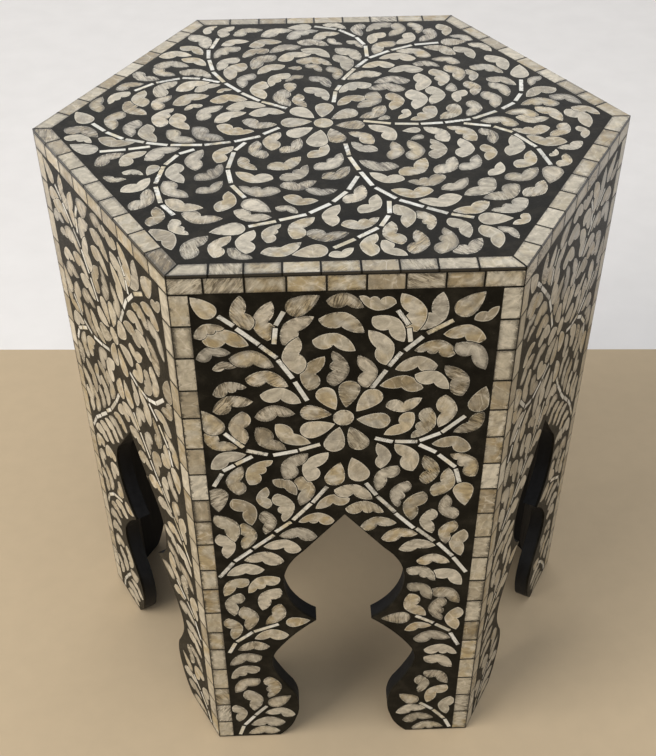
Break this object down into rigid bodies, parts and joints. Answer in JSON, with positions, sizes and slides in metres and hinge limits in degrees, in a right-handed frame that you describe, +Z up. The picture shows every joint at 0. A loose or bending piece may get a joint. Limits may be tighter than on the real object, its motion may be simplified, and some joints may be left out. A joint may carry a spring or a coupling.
{
  "type": "side table",
  "caption": "Hexagonal side table with a keyhole arch in each side panel and a leaf and flower inlay in dark resin over its top and sides.",
  "frame": {"origin": "on the floor, below the middle of the top", "axes": "+Z up, +Y from the front panel to the back panel, +X to the right of someone who faces the front panel"},
  "size_m": [0.4, 0.3464, 0.456],
  "materials": {
    "board": "matte black paint",
    "frame_wood": "matte black paint",
    "screw": "zinc plated",
    "resin": "satin polish",
    "tile": "satin polish",
    "leaf": "satin polish",
    "stem": "satin polish",
    "petal": "satin polish"
  },
  "bodies": {
    "root": {"top_board": "board", "front_panel": "board", "front_right_panel": "board", "back_right_panel": "board", "back_panel": "board", "back_left_panel": "board", "front_left_panel": "board", "front_block": "frame_wood", "front_right_block": "frame_wood", "back_right_block": "frame_wood", "back_block": "frame_wood", "back_left_block": "frame_wood", "front_left_block": "frame_wood", "front_cleat": "frame_wood", "front_right_cleat": "frame_wood", "back_right_cleat": "frame_wood", "back_cleat": "frame_wood", "back_left_cleat": "frame_wood", "front_left_cleat": "frame_wood", "top_screws": "screw", "panel_screws": "screw", "top_resin": "resin", "top_tiles": "tile", "top_leaves": "leaf", "top_stems": "stem", "top_flower": "petal", "front_resin": "resin", "front_tiles": "tile", "front_leaves": "leaf", "front_stems": "stem", "front_flower": "petal", "front_right_resin": "resin", "front_right_tiles": "tile", "front_right_leaves": "leaf", "front_right_stems": "stem", "front_right_flower": "petal", "back_right_resin": "resin", "back_right_tiles": "tile", "back_right_leaves": "leaf", "back_right_stems": "stem", "back_right_flower": "petal", "back_resin": "resin", "back_tiles": "tile", "back_leaves": "leaf", "back_stems": "stem", "back_flower": "petal", "back_left_resin": "resin", "back_left_tiles": "tile", "back_left_leaves": "leaf", "back_left_stems": "stem", "back_left_flower": "petal", "front_left_resin": "resin", "front_left_tiles": "tile", "front_left_leaves": "leaf", "front_left_stems": "stem", "front_left_flower": "petal"}
  },
  "joints": []
}
